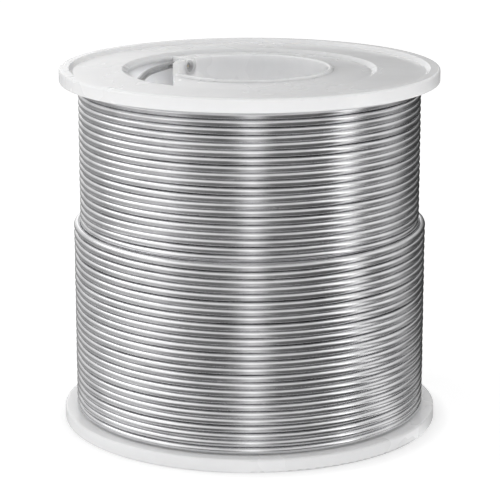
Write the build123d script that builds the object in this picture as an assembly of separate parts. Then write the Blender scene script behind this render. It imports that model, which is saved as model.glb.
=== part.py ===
from build123d import *
import math
import os

# Wound spool of flux-cored solder wire, in millimetres.
# The spool's axis is Z and the origin is at the middle of the plane that it stands on.
# The window for the wire's first end is on the -X side.  The lower flange is the same
# moulding as the upper one, turned over about X.

# Flanges
SPOOL_HEIGHT = 60.0
FLANGE_RADIUS = 31.5
FLANGE_THICKNESS = 2.25
RIM_WIDTH = 1.65            # flat band at the edge, which the spool stands on
RECESS_SLOPE_WIDTH = 0.6
RECESS_AT_RIM = 0.6         # depth of the web below the rim, beside the rim
RECESS_AT_OPENING = 0.35    # and beside the opening
OPENING_RADIUS = 21.1
OPENING_FLOOR_RADIUS = 20.2
RING_DEPTH = 0.85           # ring inside the opening, below the rim, at its outside
RING_DEPTH_AT_HOLE = 0.45   # and beside the arbor tube
RIM_EDGE_ROUND = 0.4
INSIDE_EDGE_ROUND = 0.3
FINE_ROUND = 0.15
WINDOW_OUTLINE = [          # straight near edge, and a far edge along a radius
    (-12.1, -22.0),
    (-12.1, 0.0),
    (-9.0, 10.3),
    (-14.4, 16.5),
    (-30.0, 16.5),
    (-30.0, -22.0),
]

# Winding barrel
BARREL_RADIUS = 21.0
BARREL_BORE_RADIUS = 20.2
SPIGOT_DEPTH = 0.8          # how far the barrel's ends stand in the flanges' grooves
NOTCH_START_DEG = 190.0     # notch in the barrel's wall, where the wire comes through
NOTCH_END_DEG = 226.0
NOTCH_FLOOR_Z = 56.3

# Arbor tube
ARBOR_BORE_RADIUS = 13.0
ARBOR_TUBE_RADIUS = 14.0
ARBOR_END_DEPTH = 0.15      # its ends, below the rims
LEAD_IN_WIDTH = 0.45
LEAD_IN_LENGTH = 0.4
BORE_EDGE_ROUND = 0.3
SLOT_START_DEG = 157.0      # slot in its wall beside the window, to thread the wire by
SLOT_END_DEG = 210.0
SLOT_FLOOR_Z = 54.0

# Eyelet in the arbor tube's wall
EYELET_DEG = 140.5
EYELET_DEPTH = 1.45         # its axis, below the rim
EYELET_RADIUS = 1.3
EYELET_HOLE_RADIUS = 0.95
EYELET_OUTER_END = 14.9
EYELET_HOLE_ROUND = 0.12

# Solder wire
WIRE_DIAMETER = 1.2
FLUX_RADIUS = 0.25
FLUX_PLUG_LENGTH = 1.5      # the flux core is a plug of this length in each cut end
FULL_LAYERS = 7
TURNS_PER_LAYER = 46
OUTER_LAYER_TURNS = 26.5
LAYER_STEP = WIRE_DIAMETER * math.sqrt(3.0) / 2.0   # turns nest in the layer below
LAYER_GAP = 0.01

FIT_GAP = 0.02              # between parts that are pressed or cemented together
WIRE_RADIUS = WIRE_DIAMETER / 2.0
WEB_INNER_FACE = SPOOL_HEIGHT - FLANGE_THICKNESS
WINDING_LENGTH = TURNS_PER_LAYER * WIRE_DIAMETER
WINDING_LOW = (SPOOL_HEIGHT - WINDING_LENGTH) / 2.0
WINDING_HIGH = WINDING_LOW + WINDING_LENGTH
OUTER_LAYER_HIGH = WINDING_LOW + OUTER_LAYER_TURNS * WIRE_DIAMETER
EYELET_Z = SPOOL_HEIGHT - EYELET_DEPTH

# First end of the wire: off the innermost turn, through the barrel's notch, up inside the
# barrel's wall, across the window and into the eyelet from behind.
START_ROUTE = [
    (-16.2, -14.3, 57.0),
    (-18.7, -10.4, 57.0),
    (-19.2, -7.3, 57.05),
    (-18.8, -4.2, 57.2),
    (-18.1, -1.3, 57.8),
    (-17.2, 1.9, 58.4),
    (-15.9, 4.7, 58.55),
    (-14.5, 7.6, 58.55),
    (-12.96, 10.68, 58.55),
    (-10.42, 8.59, 58.55),
]

# Last end of the wire: off the top turn of the outer layer, at the back, and laid
# slantwise over the layer below.
END_ROUTE = [
    (23.95, 16.15, 33.6),
    (21.1, 20.45, 33.7),
    (15.6, 24.95, 34.4),
    (8.6, 28.15, 35.5),
    (1.05, 29.45, 36.9),
    (-6.6, 28.7, 38.4),
    (-11.35, 26.95, 39.4),
]


def nearest_vertex(face, radius, height):
    """The corner of a profile that is closest to a radius and height."""
    target = Vector(radius, 0, height)
    return face.vertices().sort_by(lambda v: (Vector(v) - target).length)[0]


def turned(corners, rounds=()):
    """Solid of revolution about Z from (radius, height) corners, some of them rounded."""
    outline = Polyline([(r, 0, z) for r, z in corners], close=True)
    profile = make_face(outline)
    for radius, height, size in rounds:
        profile = fillet(nearest_vertex(profile, radius, height), size)
    return revolve(profile, Axis.Z)


def polar(radius, degrees):
    """X and Y of a point at a radius and an angle from +X."""
    angle = math.radians(degrees)
    return (radius * math.cos(angle), radius * math.sin(angle))


def prism(outline, low, high):
    """Upright prism on an outline of (x, y) corners."""
    return Pos(0, 0, low) * extrude(make_face(Polyline(outline, close=True)), high - low)


def wedge(start, end, low):
    """Sector between two angles, from a height to the top, for a notch in a tube's end."""
    reach = 2 * BARREL_RADIUS
    outline = [(0.0, 0.0)] + [polar(reach, d) for d in (start, (start + end) / 2.0, end)]
    return prism(outline, low, SPOOL_HEIGHT)


def turned_over(solid):
    """The same moulding at the other end of the spool."""
    return Pos(0, 0, SPOOL_HEIGHT) * Rot(180, 0, 0) * solid


def flange():
    """Upper end disc: raised rim, recessed web, and a sunk ring with the lead window."""
    top = SPOOL_HEIGHT
    rim_inner = FLANGE_RADIUS - RIM_WIDTH
    web_edge = rim_inner - RECESS_SLOPE_WIDTH
    hole = ARBOR_TUBE_RADIUS + FIT_GAP
    groove_floor = WEB_INNER_FACE + SPIGOT_DEPTH + FIT_GAP
    corners = [
        (hole, WEB_INNER_FACE),
        (hole, top - RING_DEPTH_AT_HOLE),
        (OPENING_FLOOR_RADIUS, top - RING_DEPTH),
        (OPENING_RADIUS, top - RECESS_AT_OPENING),
        (web_edge, top - RECESS_AT_RIM),
        (rim_inner, top),
        (FLANGE_RADIUS, top),
        (FLANGE_RADIUS, WEB_INNER_FACE),
        (BARREL_RADIUS + FIT_GAP, WEB_INNER_FACE),
        (BARREL_RADIUS + FIT_GAP, groove_floor),
        (BARREL_BORE_RADIUS - FIT_GAP, groove_floor),
        (BARREL_BORE_RADIUS - FIT_GAP, WEB_INNER_FACE),
    ]
    rounds = [
        (OPENING_RADIUS, top - RECESS_AT_OPENING, FINE_ROUND),
        (web_edge, top - RECESS_AT_RIM, FINE_ROUND),
        (rim_inner, top, FINE_ROUND),
        (FLANGE_RADIUS, top, RIM_EDGE_ROUND),
        (FLANGE_RADIUS, WEB_INNER_FACE, INSIDE_EDGE_ROUND),
    ]
    window = prism(WINDOW_OUTLINE, WEB_INNER_FACE - 1.0, top) & Pos(0, 0, top) * Cylinder(
        OPENING_FLOOR_RADIUS, 4 * FLANGE_THICKNESS
    )
    return turned(corners, rounds) - window


def winding_barrel():
    """Tube that the wire is wound on, held in both flanges' grooves."""
    low = FLANGE_THICKNESS - SPIGOT_DEPTH
    high = WEB_INNER_FACE + SPIGOT_DEPTH
    corners = [
        (BARREL_BORE_RADIUS, low),
        (BARREL_RADIUS, low),
        (BARREL_RADIUS, high),
        (BARREL_BORE_RADIUS, high),
    ]
    return turned(corners) - wedge(NOTCH_START_DEG, NOTCH_END_DEG, NOTCH_FLOOR_Z)


def arbor_tube():
    """Middle tube that turns on a stand's spindle, with a seat for the eyelet and a slot."""
    low = ARBOR_END_DEPTH
    high = SPOOL_HEIGHT - ARBOR_END_DEPTH
    lip = ARBOR_TUBE_RADIUS - LEAD_IN_WIDTH
    corners = [
        (ARBOR_BORE_RADIUS, low),
        (lip, low),
        (ARBOR_TUBE_RADIUS, low + LEAD_IN_LENGTH),
        (ARBOR_TUBE_RADIUS, high - LEAD_IN_LENGTH),
        (lip, high),
        (ARBOR_BORE_RADIUS, high),
    ]
    rounds = [(ARBOR_BORE_RADIUS, z, BORE_EDGE_ROUND) for z in (low, high)]
    half_width = EYELET_RADIUS + FIT_GAP
    seat = Pos(ARBOR_TUBE_RADIUS, 0, EYELET_Z) * Rot(0, 90, 0) * Cylinder(half_width, 4.0)
    mouth = Pos(ARBOR_TUBE_RADIUS, 0, EYELET_Z + EYELET_RADIUS) * Box(4.0, 2 * half_width, 2 * EYELET_RADIUS)
    tube = turned(corners, rounds) - Rot(0, 0, EYELET_DEG) * (seat + mouth)
    return tube - wedge(SLOT_START_DEG, SLOT_END_DEG, SLOT_FLOOR_Z)


def wire_eyelet():
    """Short tube through the arbor tube's wall, flush with the bore, for the wire's end."""
    inner_end = ARBOR_BORE_RADIUS * math.cos(math.asin(EYELET_RADIUS / ARBOR_BORE_RADIUS))
    length = EYELET_OUTER_END - inner_end
    middle = inner_end + length / 2.0
    bush = Cylinder(EYELET_RADIUS, length) - Cylinder(EYELET_HOLE_RADIUS, 2 * length)
    hole_edges = bush.edges().filter_by(GeomType.CIRCLE).sort_by(lambda e: e.radius)[:2]
    bush = fillet(hole_edges, EYELET_HOLE_ROUND)
    placed = Rot(0, 0, EYELET_DEG) * Pos(middle, 0, EYELET_Z) * Rot(0, 90, 0) * bush
    return placed - Pos(0, 0, EYELET_Z) * Cylinder(ARBOR_BORE_RADIUS, 10.0)


def layer_surface(number):
    """Outer radius of the winding after a number of layers."""
    if number == 0:
        return BARREL_RADIUS
    return BARREL_RADIUS + WIRE_DIAMETER + (number - 1) * LAYER_STEP


def solder_layer(number):
    """The space that one layer of turns fills, as a plain closed sleeve."""
    high = OUTER_LAYER_HIGH if number > FULL_LAYERS else WINDING_HIGH
    inner = layer_surface(number - 1) + LAYER_GAP
    outer = layer_surface(number)
    return turned([(inner, WINDING_LOW), (outer, WINDING_LOW), (outer, high), (inner, high)])


def bend_radii(route):
    """Tangent arc for each inner point of a route, from its shorter run and its turn."""
    points = [Vector(*p) for p in route]
    radii = []
    for before, here, after in zip(points, points[1:], points[2:]):
        turn = (here - before).get_angle(after - here)
        shorter = min((here - before).length, (after - here).length)
        radii.append(0.45 * shorter / math.tan(math.radians(turn) / 2.0))
    return radii


def free_wire(name, route):
    """A stretch of wire away from the winding, and the flux in its cut end."""
    path = FilletPolyline(*route, radius=bend_radii(route))
    solder = sweep(Plane(origin=path @ 0, z_dir=path % 0) * Circle(WIRE_RADIUS), path)
    cut_end = Plane(origin=path @ 1, z_dir=path % 1) * Pos(0, 0, -FLUX_PLUG_LENGTH / 2.0)
    bore = cut_end * Cylinder(FLUX_RADIUS, FLUX_PLUG_LENGTH)
    plug = cut_end * Cylinder(FLUX_RADIUS - LAYER_GAP, FLUX_PLUG_LENGTH - 2 * LAYER_GAP)
    radii = [round(r, 1) for r in bend_radii(route)]
    print(name, "length", round(path.length, 1), "bend radii", radii)
    return {name + "_lead": solder - bore, name + "_flux_core": plug}


def start_nodes():
    """The wire's first end, as far as the innermost layer."""
    nodes = free_wire("start", START_ROUTE)
    nodes["start_lead"] &= Cylinder(layer_surface(0), 4 * SPOOL_HEIGHT)
    return nodes


def end_nodes():
    """The wire's last end, from the outer layer's top turn."""
    nodes = free_wire("end", END_ROUTE)
    below = Pos(0, 0, OUTER_LAYER_HIGH - SPOOL_HEIGHT) * Cylinder(FLANGE_RADIUS, 2 * SPOOL_HEIGHT)
    nodes["end_lead"] -= below
    return nodes


def spool():
    """Every node by name."""
    nodes = {
        "upper_flange": flange(),
        "lower_flange": turned_over(flange()),
        "winding_barrel": winding_barrel(),
        "arbor_tube": arbor_tube(),
        "wire_eyelet": wire_eyelet(),
    }
    for number in range(1, FULL_LAYERS + 2):
        nodes[f"solder_layer_{number}"] = solder_layer(number)
    nodes.update(start_nodes())
    nodes.update(end_nodes())
    return nodes


os.makedirs("parts", exist_ok=True)
for node, shape in spool().items():
    export_step(shape, f"parts/{node}.step")
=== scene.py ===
import math
import random

import bpy
import numpy as np
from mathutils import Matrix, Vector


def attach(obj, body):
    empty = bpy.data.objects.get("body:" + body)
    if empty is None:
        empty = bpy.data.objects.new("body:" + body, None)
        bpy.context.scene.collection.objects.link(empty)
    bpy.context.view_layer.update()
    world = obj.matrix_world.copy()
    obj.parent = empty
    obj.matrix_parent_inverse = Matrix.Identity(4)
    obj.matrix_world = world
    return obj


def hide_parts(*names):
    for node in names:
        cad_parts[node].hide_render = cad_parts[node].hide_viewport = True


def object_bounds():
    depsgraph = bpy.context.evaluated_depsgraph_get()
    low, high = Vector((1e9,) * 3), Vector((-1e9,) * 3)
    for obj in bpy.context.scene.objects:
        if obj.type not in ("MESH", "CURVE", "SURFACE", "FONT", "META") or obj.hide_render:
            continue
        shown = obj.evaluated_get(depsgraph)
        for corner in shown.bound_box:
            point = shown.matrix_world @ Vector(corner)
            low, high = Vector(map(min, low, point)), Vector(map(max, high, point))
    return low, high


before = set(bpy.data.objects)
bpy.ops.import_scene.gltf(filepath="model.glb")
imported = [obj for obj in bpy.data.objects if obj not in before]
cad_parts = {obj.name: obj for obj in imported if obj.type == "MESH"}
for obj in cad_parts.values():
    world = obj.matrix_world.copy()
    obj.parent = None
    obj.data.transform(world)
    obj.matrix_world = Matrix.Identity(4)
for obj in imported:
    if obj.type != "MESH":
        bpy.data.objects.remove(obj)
cad_low, cad_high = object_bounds()

scene = bpy.context.scene
scene.view_settings.view_transform = "Standard"

TURN = 2.0 * math.pi
MM = 0.001

# The wire, its winding and the unrolled patterns are in millimetres, and everything else is in metres.
WIRE_DIAMETER = 1.2
FLUX_RADIUS = 0.25
FLUX_DEPTH = 1.5                         # how far the flux is modelled into a cut end
BARREL_RADIUS = 21.0
LAYER_STEP = WIRE_DIAMETER * math.sqrt(3.0) / 2.0
FULL_LAYERS = 7
ODD_TURNS = 46
EVEN_TURNS = 45
OUTER_TURNS = 26                         # in the partial layer on top of the full ones
WINDING_LOW = (cad_low[2] + cad_high[2]) / MM / 2.0 - ODD_TURNS * WIRE_DIAMETER / 2.0


# ---------------------------------------------------------------- camera
CAMERA_PLACE = (0.0, -0.3557, 0.1180)
CAMERA_DOWN = 14.13                      # degrees below level
CAMERA_LENS = 156.28
CAMERA_SENSOR = 36.0
CAMERA_SHIFT = 0.0009
CAMERA_NEAR = 0.01
CAMERA_FAR = 20.0


def add_camera():
    data = bpy.data.cameras.new("camera")
    data.sensor_fit = "HORIZONTAL"
    data.sensor_width = CAMERA_SENSOR
    data.lens = CAMERA_LENS
    data.shift_x = CAMERA_SHIFT
    data.clip_start = CAMERA_NEAR
    data.clip_end = CAMERA_FAR
    camera = bpy.data.objects.new("camera", data)
    camera.location = CAMERA_PLACE
    camera.rotation_euler = (math.radians(90.0 - CAMERA_DOWN), 0.0, 0.0)
    scene.collection.objects.link(camera)
    scene.camera = camera


add_camera()


# ---------------------------------------------------------------- free ends of the wire
START_ROUTE = [
    (-16.2, -14.3, 57.0),
    (-18.7, -10.4, 57.0),
    (-19.2, -7.3, 57.05),
    (-18.8, -4.2, 57.2),
    (-18.1, -1.3, 57.8),
    (-17.2, 1.9, 58.4),
    (-15.9, 4.7, 58.55),
    (-14.5, 7.6, 58.55),
    (-12.96, 10.68, 58.55),
    (-10.42, 8.59, 58.55),
]
END_ROUTE = [
    (23.95, 16.15, 33.6),
    (21.1, 20.45, 33.7),
    (15.6, 24.95, 34.4),
    (8.6, 28.15, 35.5),
    (1.05, 29.45, 36.9),
    (-6.6, 28.7, 38.4),
    (-11.35, 26.95, 39.4),
]
ROUTE_RESOLUTION = 14                    # points on the line for each point of the route
LEAD_SIDES = 20
SHARP_EDGE = math.radians(60.0)          # only the cut ends of the wire have edges sharper than this


def spline_points(route):
    """Points along the route's own NURBS line, in millimetres."""
    data = bpy.data.curves.new("route", "CURVE")
    data.dimensions = "3D"
    spline = data.splines.new("NURBS")
    spline.points.add(len(route) - 1)
    for point, (x, y, z) in zip(spline.points, route):
        point.co = (x * MM, y * MM, z * MM, 1.0)
    spline.order_u = 3
    spline.use_endpoint_u = True
    spline.resolution_u = ROUTE_RESOLUTION
    line = bpy.data.objects.new("route", data)
    mesh = bpy.data.meshes.new_from_object(line)
    points = np.array([v.co for v in mesh.vertices]) / MM
    bpy.data.objects.remove(line)
    bpy.data.curves.remove(data)
    bpy.data.meshes.remove(mesh)
    return points


def circles(ahead, side, sides):
    """Unit circles square to a path's directions, with no twist from one to the next."""
    outward = []
    for direction in ahead:
        side = side - direction * np.dot(side, direction)
        side = side / np.linalg.norm(side)
        outward.append(side)
    outward = np.array(outward)
    across = np.cross(ahead, outward)
    around = np.linspace(0.0, TURN, sides, endpoint=False)
    return (outward[:, None, :] * np.cos(around)[None, :, None]
            + across[:, None, :] * np.sin(around)[None, :, None])


def skin(count, sides):
    """Faces of a tube that has a count of rings, closed at both ends."""
    first = np.arange(count - 1)[:, None] * sides
    here = first + np.arange(sides)
    beside = first + (np.arange(sides) + 1) % sides
    quads = np.stack([here, beside, beside + sides, here + sides], axis=-1).reshape(-1, 4)
    start_face = list(range(sides))[::-1]
    end_face = list(range((count - 1) * sides, count * sides))
    return [*quads.tolist(), start_face, end_face]


def tube(name, path, radius, sides, flux=False):
    """Round wire along a dense path, in millimetres; its end can have a bore for the flux."""
    ahead = np.gradient(path, axis=0)
    ahead /= np.linalg.norm(ahead, axis=1)[:, None]
    circle = circles(ahead, path[0] * np.array([1.0, 1.0, 0.0]), sides)
    rings = [*(path[:, None, :] + radius * circle)]
    if flux:
        mouth = path[-1] + FLUX_RADIUS * circle[-1]
        rings += [mouth, mouth - FLUX_DEPTH * ahead[-1]]
    points = np.concatenate(rings) * MM
    mesh = bpy.data.meshes.new(name)
    mesh.from_pydata(points.tolist(), [], skin(len(rings), sides))
    mesh.update()
    mesh.shade_smooth()
    mesh.set_sharp_from_angle(angle=SHARP_EDGE)
    piece = bpy.data.objects.new(name, mesh)
    scene.collection.objects.link(piece)
    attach(piece, "root")
    return piece


start_points = spline_points(START_ROUTE)
start_lead = tube("start_lead_wire", start_points, WIRE_DIAMETER / 2.0, LEAD_SIDES, flux=True)
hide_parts("start_lead")

end_points = spline_points(END_ROUTE)
end_lead = tube("end_lead_wire", end_points, WIRE_DIAMETER / 2.0, LEAD_SIDES, flux=True)
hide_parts("end_lead")


# ---------------------------------------------------------------- winding
FRONT = math.radians(270.0)
FIRST_TURN_START = math.radians(221.4)   # at the barrel's notch, where the first end comes out
CROSSOVER_START = math.radians(62.0)     # each turn is level, then steps over at the back
CROSSOVER_END = math.radians(112.0)
CROSSOVER_HUMP = 0.11                    # how far out a turn goes where it steps over
CLIMB = math.radians(32.0)               # over which a layer's end climbs to the next layer

LAST_LAYER_SAG = 0.25                    # of the top row of the last full layer, which nothing covers
OUTER_DROP = 0.72                        # the outer layer starts against the flange, below its nests
LOW_STRETCH = math.radians(52.0)         # it stays low about this far each side of the front
RIDE_UP_POWER = 4                        # and elsewhere it rides up, its last rows most of all

FIRST_SEED = 40
WANDER = 0.020                           # height of each of the waves that make a row uneven
WANDER_WAVES = 4                         # the first has one period in each turn, the next two, and so on
WANDER_DRIFT = (0.11, 0.43)              # and part of a period more, so that the turns differ
LOOSENESS = 0.015                        # how far in and out a row strays
LOOSENESS_PERIODS = 0.173                # in each turn
ENDS_HELD = math.radians(30.0)           # over which the unevenness fades out at both ends of a layer

SEEN_SIDES = 16
SEEN_POINTS = 120                        # in each turn
HIDDEN_SIDES = 8
HIDDEN_POINTS = 60
JOIN_POINTS = 60                         # over which the last turn meets the free end
CLEARANCE = 0.005                        # of each turn, all round, so that neighbours don't cut each other


def smooth(t):
    """From 0 to 1 with an easy start and end."""
    t = np.clip(t, 0.0, 1.0)
    return t * t * (3.0 - 2.0 * t)


def is_odd(number):
    return number % 2 == 1


def last_row(number):
    """The top row of a layer. Its rows are counted from 0, at the bottom."""
    return (ODD_TURNS if is_odd(number) else EVEN_TURNS) - 1.0


def row_height(number, level):
    """Height of the middle of a layer's row. Rows nest half a turn above those of the layer below."""
    height = WINDING_LOW + WIRE_DIAMETER * (level + (0.5 if is_odd(number) else 1.0))
    if number == FULL_LAYERS:
        uncovered = (level - OUTER_TURNS) / (last_row(number) - OUTER_TURNS)
        height = height - LAST_LAYER_SAG * smooth(uncovered)
    if number > FULL_LAYERS:
        height = height - OUTER_DROP
    return height


def unevenness(number, angle):
    """How far up and how far out the wire strays along a layer."""
    rng = random.Random(FIRST_SEED + number)
    up = np.zeros_like(angle)
    for harmonic in range(1, WANDER_WAVES + 1):
        drift = rng.uniform(*WANDER_DRIFT)
        up += WANDER * np.sin((harmonic + drift) * angle + rng.uniform(0.0, TURN))
    out = LOOSENESS * np.sin(angle * LOOSENESS_PERIODS + rng.uniform(0.0, TURN))
    return up, out


def layer_path(number, turns, start, per_turn):
    """Centreline of one layer. Odd layers go down, and even ones up, the outermost included."""
    count = int(round(turns * per_turn))
    angle = start + np.arange(count + 1) / per_turn * TURN
    # a turn stays level in its row, and part of the crossover is part of the way to the next row
    row = np.floor((angle - CROSSOVER_START) / TURN)
    part = ((angle - CROSSOVER_START) - row * TURN) / (CROSSOVER_END - CROSSOVER_START)
    first = math.floor((start - CROSSOVER_START) / TURN)
    level = np.clip(row - first + smooth(part) - 1.0, 0.0, last_row(number))
    if is_odd(number):
        level = last_row(number) - level
    hump = np.where(part < 1.0, np.sin(np.pi * np.clip(part, 0.0, 1.0)) ** 2, 0.0)
    up, out = unevenness(number, angle)
    to_go = angle[-1] - angle
    free = smooth(np.minimum(angle - start, to_go) / ENDS_HELD)
    radius = BARREL_RADIUS + WIRE_DIAMETER / 2.0 + (number - 1) * LAYER_STEP
    radius = radius + CROSSOVER_HUMP * hump + out * free
    height = row_height(number, level) + up * free
    if number > FULL_LAYERS:
        away = (angle - FRONT + math.pi) % TURN - math.pi
        lift = 1.0 - np.exp(-(away / LOW_STRETCH) ** 2)
        height = height + OUTER_DROP * lift * ((level + 1.0) / OUTER_TURNS) ** RIDE_UP_POWER
    else:
        climb = smooth(1.0 - to_go / CLIMB)
        after = number + 1
        target = row_height(after, last_row(after) if is_odd(after) else 0.0)
        radius = radius + LAYER_STEP * climb
        height = height + (target - row_height(number, level[-1])) * climb
    return np.stack([radius * np.cos(angle), radius * np.sin(angle), height], axis=1)


def add_layer(number, turns, start):
    """One layer of turns. The last turn of the outermost one runs into the free end."""
    seen = number >= FULL_LAYERS
    path = layer_path(number, turns, start, SEEN_POINTS if seen else HIDDEN_POINTS)
    if number > FULL_LAYERS:
        done = (np.arange(len(path)) - (len(path) - JOIN_POINTS)) / (JOIN_POINTS - 1.0)
        path += smooth(done)[:, None] * (np.array(END_ROUTE[0]) - path[-1])
    radius = WIRE_DIAMETER / 2.0 - CLEARANCE
    piece = tube(f"solder_turns_{number}", path, radius, SEEN_SIDES if seen else HIDDEN_SIDES)
    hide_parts(f"solder_layer_{number}")
    return piece


layers = []
for number in range(1, FULL_LAYERS + 1):
    begin = FIRST_TURN_START if number == 1 else CROSSOVER_END
    layers.append(add_layer(number, last_row(number) + 1.0, begin))
end_angle = math.atan2(END_ROUTE[0][1], END_ROUTE[0][0]) + TURN
outer_turns = OUTER_TURNS - 1 + (end_angle - CROSSOVER_END) / TURN
layers.append(add_layer(FULL_LAYERS + 1, outer_turns, CROSSOVER_END))


# ---------------------------------------------------------------- node trees
UNROLLED_RADIUS = 25.0                   # millimetres; at it, an unrolled pattern has its true length
BUMP_DEPTH = 0.00002
NOISE_RANGE = (0.3, 0.7)                 # nearly all of a noise is between these


class Nodes:
    """Short-hand for making the node tree of a material or of the world."""

    def __init__(self, owner):
        owner.use_nodes = True
        self.tree = owner.node_tree
        self.tree.nodes.clear()

    def link(self, source, target):
        self.tree.links.new(source, target)

    def add(self, kind, **settings):
        node = self.tree.nodes.new(kind)
        for key, value in settings.items():
            setattr(node, key, value)
        return node

    def place(self, kind):
        """Texture coordinates of a kind."""
        return self.add("ShaderNodeTexCoord").outputs[kind]

    def split(self, vector):
        node = self.add("ShaderNodeSeparateXYZ")
        self.link(vector, node.inputs[0])
        return node.outputs

    def calc(self, operation, a, b=None):
        """Result of a math node, from numbers or from other nodes."""
        node = self.add("ShaderNodeMath", operation=operation)
        for slot, value in ((0, a), (1, b)):
            if isinstance(value, float):
                node.inputs[slot].default_value = value
            elif value is not None:
                self.link(value, node.inputs[slot])
        return node.outputs[0]

    def radius(self, x, y):
        """Distance from the Z axis."""
        return self.calc("SQRT", self.calc("ADD", self.calc("MULTIPLY", x, x), self.calc("MULTIPLY", y, y)))

    def spread(self, value, low, high, start=NOISE_RANGE[0], end=NOISE_RANGE[1]):
        """From low to high, as the value goes from start to end."""
        node = self.add("ShaderNodeMapRange")
        node.inputs["From Min"].default_value = start
        node.inputs["From Max"].default_value = end
        node.inputs["To Min"].default_value = low
        node.inputs["To Max"].default_value = high
        self.link(value, node.inputs["Value"])
        return node.outputs[0]

    def colours(self, value, stops):
        """Colours along a ramp, from its positions and colours."""
        node = self.add("ShaderNodeValToRGB")
        ramp = node.color_ramp
        while len(ramp.elements) < len(stops):
            ramp.elements.new(0.5)
        for element, (position, colour) in zip(ramp.elements, stops):
            element.position = position
            element.color = (*colour, 1.0)
        self.link(value, node.inputs[0])
        return node.outputs[0]

    def show(self, plain, mirrored, output):
        """Give the output one shader, with another one for the rays that the metal mirrors."""
        mix = self.add("ShaderNodeMixShader")
        self.link(self.add("ShaderNodeLightPath").outputs["Is Glossy Ray"], mix.inputs[0])
        self.link(plain.outputs[0], mix.inputs[1])
        self.link(mirrored.outputs[0], mix.inputs[2])
        self.link(mix.outputs[0], output.inputs["Surface"])


class Surface(Nodes):
    """Node tree of a material that has a principled shader."""

    def __init__(self, name):
        self.material = bpy.data.materials.new(name)
        super().__init__(self.material)
        self.output = self.add("ShaderNodeOutputMaterial")
        self.shader = self.add("ShaderNodeBsdfPrincipled")
        self.link(self.shader.outputs["BSDF"], self.output.inputs["Surface"])

    def fix(self, socket, value):
        """A value that is the same all over the surface."""
        self.shader.inputs[socket].default_value = value

    def vary(self, socket, source):
        """A value that a pattern gives."""
        self.link(source, self.shader.inputs[socket])

    def noise(self, vector, scale, detail=2.0, roughness=0.5):
        node = self.add("ShaderNodeTexNoise")
        node.inputs["Scale"].default_value = scale
        node.inputs["Detail"].default_value = detail
        node.inputs["Roughness"].default_value = roughness
        self.link(vector, node.inputs["Vector"])
        return node.outputs[0]

    def cylinder(self, along, outward, up):
        """Object coordinates unrolled round Z, in millimetres, each with its own stretch."""
        x, y, z = self.split(self.place("Object"))
        radius = self.radius(x, y)
        angle = self.calc("ARCTAN2", y, x)
        join = self.add("ShaderNodeCombineXYZ")
        self.link(self.calc("MULTIPLY", angle, UNROLLED_RADIUS * along), join.inputs[0])
        self.link(self.calc("MULTIPLY", radius, outward / MM), join.inputs[1])
        self.link(self.calc("MULTIPLY", z, up / MM), join.inputs[2])
        return join.outputs[0]

    def bump(self, height, strength):
        node = self.add("ShaderNodeBump")
        node.inputs["Strength"].default_value = strength
        node.inputs["Distance"].default_value = BUMP_DEPTH
        self.link(height, node.inputs["Height"])
        self.vary("Normal", node.outputs[0])


# ---------------------------------------------------------------- materials
SOLDER_DARK = (0.66, 0.66, 0.67)
SOLDER_MIDDLE = (0.74, 0.74, 0.75)
SOLDER_LIGHT = (0.80, 0.80, 0.81)
FLUX_DARK = (0.34, 0.28, 0.20)
FLUX_LIGHT = (0.42, 0.36, 0.26)


def solder_material(name, tone):
    """Drawn solder; the tone scales how bright its colours are, and a tone below 1 is painted shade."""
    n = Surface(name)
    drawn = n.noise(n.cylinder(along=0.12, outward=7.0, up=7.0), scale=1.0, detail=3.0, roughness=0.6)
    handled = n.noise(n.cylinder(along=0.5, outward=0.8, up=0.8), scale=0.35, detail=3.0, roughness=0.55)
    dark, middle, light = ([tone * c for c in grey] for grey in (SOLDER_DARK, SOLDER_MIDDLE, SOLDER_LIGHT))
    n.vary("Base Color", n.colours(handled, [(0.3, dark), (0.5, middle), (0.72, light)]))
    n.fix("Metallic", 1.0)
    rough = n.calc("ADD", n.spread(drawn, 0.13, 0.22), n.spread(handled, 0.0, 0.07))
    n.vary("Roughness", rough)
    n.bump(drawn, strength=0.35)
    return n.material


def plastic_material(name, tint, roughness, clouding):
    """Natural plastic that light goes through, with flow marks, tooling marks and a fine grain."""
    n = Surface(name)
    place = n.place("Object")
    cloud = n.noise(place, scale=60.0, detail=3.0, roughness=0.6)
    flow = n.noise(n.cylinder(along=0.9, outward=0.15, up=0.3), scale=0.8, detail=3.0, roughness=0.55)
    tooling = n.noise(n.cylinder(along=0.02, outward=6.0, up=6.0), scale=1.0)
    grain = n.noise(place, scale=2600.0)
    mixed = n.calc("ADD", n.calc("MULTIPLY", cloud, 0.6), n.calc("MULTIPLY", flow, 0.4))
    light = [min(1.0, c + clouding) for c in tint]
    dark = [c - clouding for c in tint]
    n.vary("Base Color", n.colours(mixed, [(0.35, dark), (0.65, light)]))
    n.vary("Roughness", n.spread(cloud, roughness - 0.06, roughness + 0.06))
    n.fix("IOR", 1.49)
    n.fix("Subsurface Weight", 0.9)
    n.fix("Subsurface Radius", (1.0, 0.98, 0.95))
    n.fix("Subsurface Scale", 0.0025)
    n.fix("Coat Weight", 0.12)
    n.fix("Coat Roughness", 0.12)
    height = n.calc("ADD", n.calc("MULTIPLY", tooling, 0.6), n.calc("MULTIPLY", grain, 0.25))
    n.bump(height, strength=0.25)
    return n.material


def flux_material():
    """Hard rosin with fine specks."""
    n = Surface("flux_rosin")
    speck = n.noise(n.place("Object"), scale=3000.0)
    n.vary("Base Color", n.colours(speck, [(0.35, FLUX_DARK), (0.65, FLUX_LIGHT)]))
    n.vary("Roughness", n.spread(speck, 0.2, 0.4))
    n.bump(speck, strength=0.3)
    return n.material


def paint(piece, material):
    piece.data.materials.clear()
    piece.data.materials.append(material)


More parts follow.
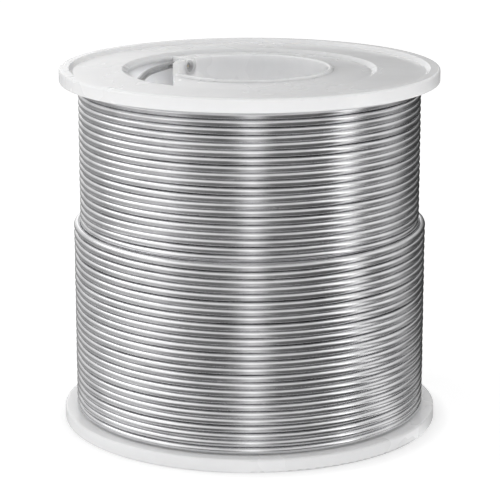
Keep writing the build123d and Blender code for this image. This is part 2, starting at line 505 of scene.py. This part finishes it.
SOLDER = solder_material("solder_drawn_tin", tone=1.0)
# darker copy of the same solder: painted shade for the start lead inside the window
SOLDER_SHADED = solder_material("solder_painted_shade_tin", tone=0.60)
PLASTIC = plastic_material("natural_plastic", tint=(0.835, 0.835, 0.84), roughness=0.25, clouding=0.012)
CLEAR = plastic_material("eyelet_plastic", tint=(0.95, 0.95, 0.95), roughness=0.20, clouding=0.008)
FLUX = flux_material()
for piece in [*layers, end_lead]:
    paint(piece, SOLDER)
paint(start_lead, SOLDER_SHADED)
for name in ("upper_flange", "lower_flange", "winding_barrel", "arbor_tube"):
    paint(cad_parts[name], PLASTIC)
paint(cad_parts["wire_eyelet"], CLEAR)
for name in ("start_flux_core", "end_flux_core"):
    paint(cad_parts[name], FLUX)


# ---------------------------------------------------------------- walls and ceiling
# Brightness of the walls that the metal mirrors: degrees from the front, to the right, and strength.
WALLS = [
    (-180, 0.55), (-174, 1.35), (-150, 0.62), (-128, 0.68), (-108, 0.72), (-96, 0.85), (-85, 1.05),
    (-62, 1.25), (-50, 1.25), (-44, 0.8), (-36, 0.5), (-26, 0.36), (-13, 0.26), (-6, 0.65), (1, 1.65),
    (6, 1.15), (13, 0.30), (42, 0.21), (52, 0.17), (56, 0.5), (61, 1.8), (65, 2.5), (69, 2.0), (74, 0.6),
    (84, 0.25), (101, 0.85), (113, 0.6), (126, 0.12), (158, 0.05), (172, 0.07), (180, 0.45),
]
BRIGHTEST = 2.5                          # of the walls; colours in the node tree are shares of this
CEILING = 1.30                           # brightness of the lit ceiling that the metal mirrors
CEILING_START = 0.12                     # heights of a direction, from 0, level, to 1, straight up
CEILING_END = 0.40
CEILING_SHARE = 0.5                      # of the brightness above that; the rest is the walls'
ZENITH = 0.40                            # brightness straight above
ZENITH_START = 0.76
ZENITH_END = 0.96
SKY = 0.82                               # brightness of the sky that matt surfaces see instead


def wall_colour(n, x, y, factor):
    """The walls' brightness in a direction, times a factor, as a colour."""
    angle = n.calc("ARCTAN2", x, n.calc("MULTIPLY", y, -1.0))
    stops = [((degrees + 180.0) / 360.0, [strength * factor] * 3) for degrees, strength in WALLS]
    return n.colours(n.spread(angle, 0.0, 1.0, -math.pi, math.pi), stops)


def above(n, below, share, strength):
    """The colour below a height, blended with the strength above it by a share."""
    level = strength / BRIGHTEST
    blend = n.add("ShaderNodeMix", data_type="RGBA")
    n.link(share, blend.inputs[0])
    n.link(below, blend.inputs[6])
    blend.inputs[7].default_value = (level, level, level, 1.0)
    return blend.outputs[2]


def add_walls():
    """Walls and a ceiling that only the metal mirrors; matt surfaces see a plain sky."""
    world = bpy.data.worlds.new("studio")
    scene.world = world
    n = Nodes(world)
    x, y, z = n.split(n.place("Generated"))
    walls = wall_colour(n, x, y, 1.0 / BRIGHTEST)
    lit = above(n, walls, n.spread(z, 0.0, CEILING_SHARE, CEILING_START, CEILING_END), CEILING)
    whole = above(n, lit, n.spread(z, 0.0, 1.0, ZENITH_START, ZENITH_END), ZENITH)
    mirrored = n.add("ShaderNodeBackground")
    mirrored.inputs["Strength"].default_value = BRIGHTEST
    n.link(whole, mirrored.inputs["Color"])
    plain = n.add("ShaderNodeBackground")
    plain.inputs["Strength"].default_value = SKY
    n.show(plain, mirrored, n.add("ShaderNodeOutputWorld"))


# ---------------------------------------------------------------- floor
FLOOR_REACH = 3.0
FLOOR_DARK = (0.78, 0.78, 0.78)
FLOOR_LIGHT = (0.80, 0.80, 0.80)
FLOOR_GLOW = 0.52
PAINTED_SHADOW_GLOW = 0.55                      # the share of that which is left beside the object, a painted contact shadow
SHADOW_WIDTH = 0.003                     # and how far out it is full again
FLOOR_PAINTED_LIGHT_SHARE = 0.50                    # in the metal, it has this share of the walls' brightness, as painted light


def add_floor():
    """White card with a glow that keeps it pale, dimmed beside the object as a painted contact shadow. The
    metal mirrors it as an emission of painted light, brighter towards the bright walls.
    """
    mesh = bpy.data.meshes.new("floor")
    corners = [(-1, -1), (1, -1), (1, 1), (-1, 1)]
    mesh.from_pydata([(FLOOR_REACH * x, FLOOR_REACH * y, 0.0) for x, y in corners], [], [(0, 1, 2, 3)])
    floor = bpy.data.objects.new("floor", mesh)
    scene.collection.objects.link(floor)
    n = Surface("floor_card")
    place = n.place("Object")
    fibre = n.noise(place, scale=40.0, detail=3.0)
    n.vary("Base Color", n.colours(fibre, [(0.3, FLOOR_DARK), (0.7, FLOOR_LIGHT)]))
    n.fix("Roughness", 0.9)
    n.fix("Specular IOR Level", 0.0)
    n.fix("Emission Color", (1.0, 1.0, 1.0, 1.0))
    x, y, _ = n.split(place)
    edge = cad_high[0]
    # the glow is dimmed just beside the object, out to the shadow's width: a painted contact shadow
    glow = n.spread(n.radius(x, y), FLOOR_GLOW * PAINTED_SHADOW_GLOW, FLOOR_GLOW, edge, edge + SHADOW_WIDTH)
    n.vary("Emission Strength", glow)
    # what the metal mirrors of the floor is painted light: an emission brighter towards the bright walls
    mirrored = n.add("ShaderNodeEmission")
    n.link(wall_colour(n, x, y, FLOOR_PAINTED_LIGHT_SHARE), mirrored.inputs["Color"])
    n.show(n.shader, mirrored, n.output)
    paint(floor, n.material)


# ---------------------------------------------------------------- lamps
FILL_WIDTH = 0.003


def add_lamp(name, kind, place, power):
    data = bpy.data.lights.new(name, kind)
    data.energy = power
    lamp = bpy.data.objects.new(name, data)
    lamp.location = place
    scene.collection.objects.link(lamp)
    return lamp


def add_soft_box(name, place, target, size, power, mirrored):
    """Square lamp that faces a target; the metal mirrors it or doesn't."""
    lamp = add_lamp(name, "AREA", place, power)
    lamp.data.size = size
    away = np.array(place) - np.array(target)
    tilt = math.atan2(math.hypot(away[0], away[1]), away[2])
    lamp.rotation_euler = (tilt, 0.0, math.atan2(away[0], -away[1]))
    lamp.visible_glossy = mirrored


def add_fill(name, place, power, tall=None, facing=0.0):
    """Small lamp inside the plastic, for the light that comes through its walls: a point or a strip."""
    lamp = add_lamp(name, "AREA" if tall else "POINT", place, power)
    if tall:
        lamp.data.shape = "RECTANGLE"
        lamp.data.size = FILL_WIDTH
        lamp.data.size_y = tall
        lamp.rotation_euler = (math.radians(90.0), 0.0, math.radians(facing - 90.0))
    else:
        lamp.data.shadow_soft_size = FILL_WIDTH
    lamp.visible_camera = False
    lamp.visible_glossy = False


add_floor()
add_walls()
add_fill("bore_fill", (0.0, 0.0, 0.040), power=0.0020)
add_fill("window_fill", (-0.0147, 0.0039, 0.034), power=0.0044, tall=0.040, facing=155.0)
add_soft_box("key", (-0.24, 0.04, 0.24), (0.0, 0.0, 0.04), size=0.20, power=0.15, mirrored=True)
add_soft_box("front", (0.0, -0.45, 0.22), (0.0, 0.0, 0.03), size=0.30, power=0.30, mirrored=False)
